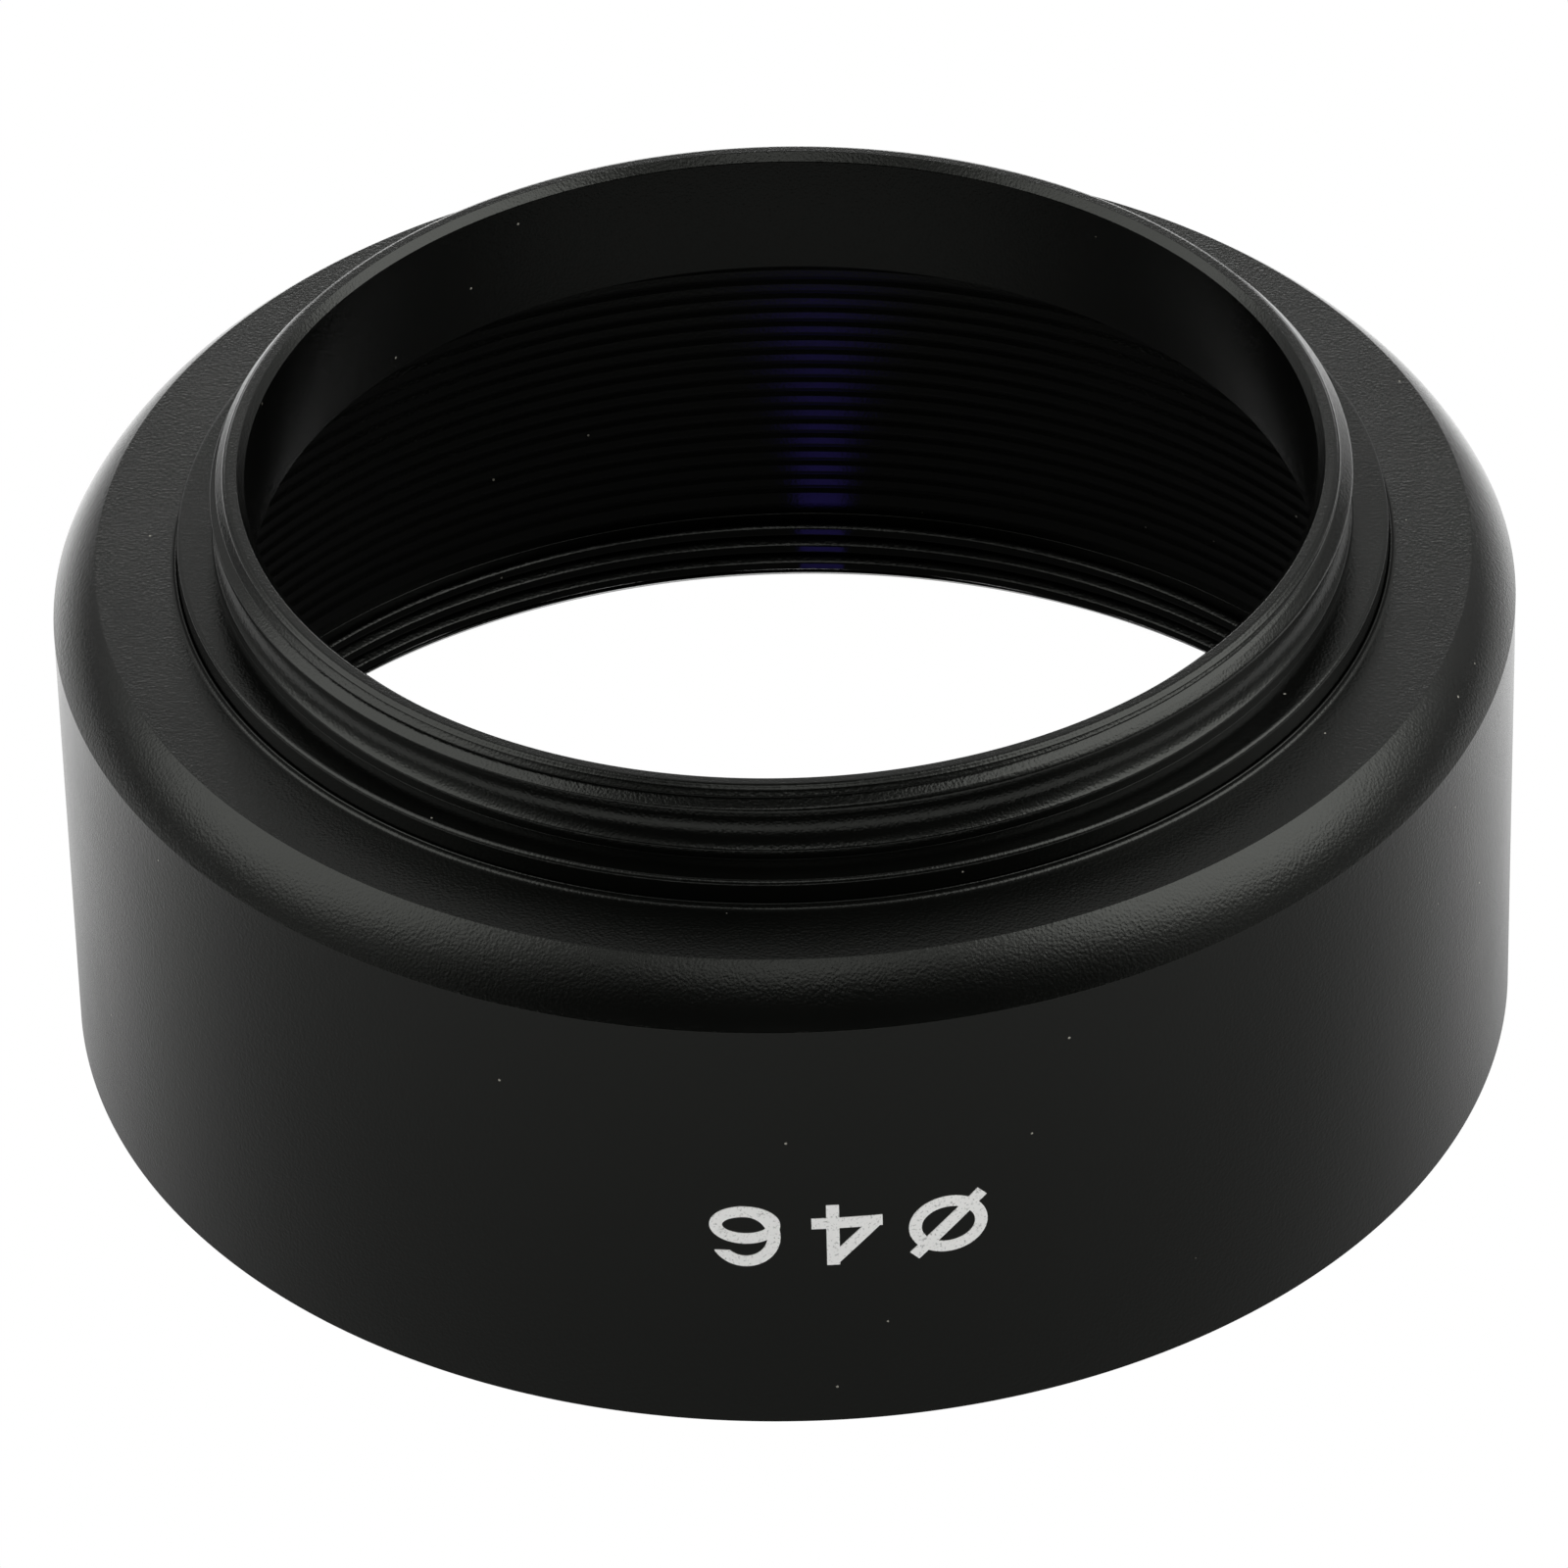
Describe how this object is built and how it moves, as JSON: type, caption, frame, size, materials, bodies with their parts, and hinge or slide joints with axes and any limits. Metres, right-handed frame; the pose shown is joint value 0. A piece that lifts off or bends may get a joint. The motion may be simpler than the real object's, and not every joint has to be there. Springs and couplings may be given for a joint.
{
  "type": "lens hood",
  "caption": "Short cylindrical screw-in lens hood with a threaded mount ring on top, a grooved black inside and a filter thread in its wide mouth.",
  "frame": {"origin": "on the turning axis, in the plane of the wide mouth's rim", "axes": "+Z along the turning axis, from the wide mouth towards the mount ring; -Y towards the printed size"},
  "size_m": [0.049, 0.0489, 0.0215],
  "materials": {
    "black_anodised_shell": "bead-blasted, black anodised, satin",
    "black_anodised_ring": "turned, black anodised, satin",
    "white_ink": "pad-printed white ink, matt and slightly grainy"
  },
  "bodies": {
    "root": {"hood_shell": "black_anodised_shell", "thread_mount_ring": "black_anodised_ring", "size_mark": "white_ink"}
  },
  "joints": []
}
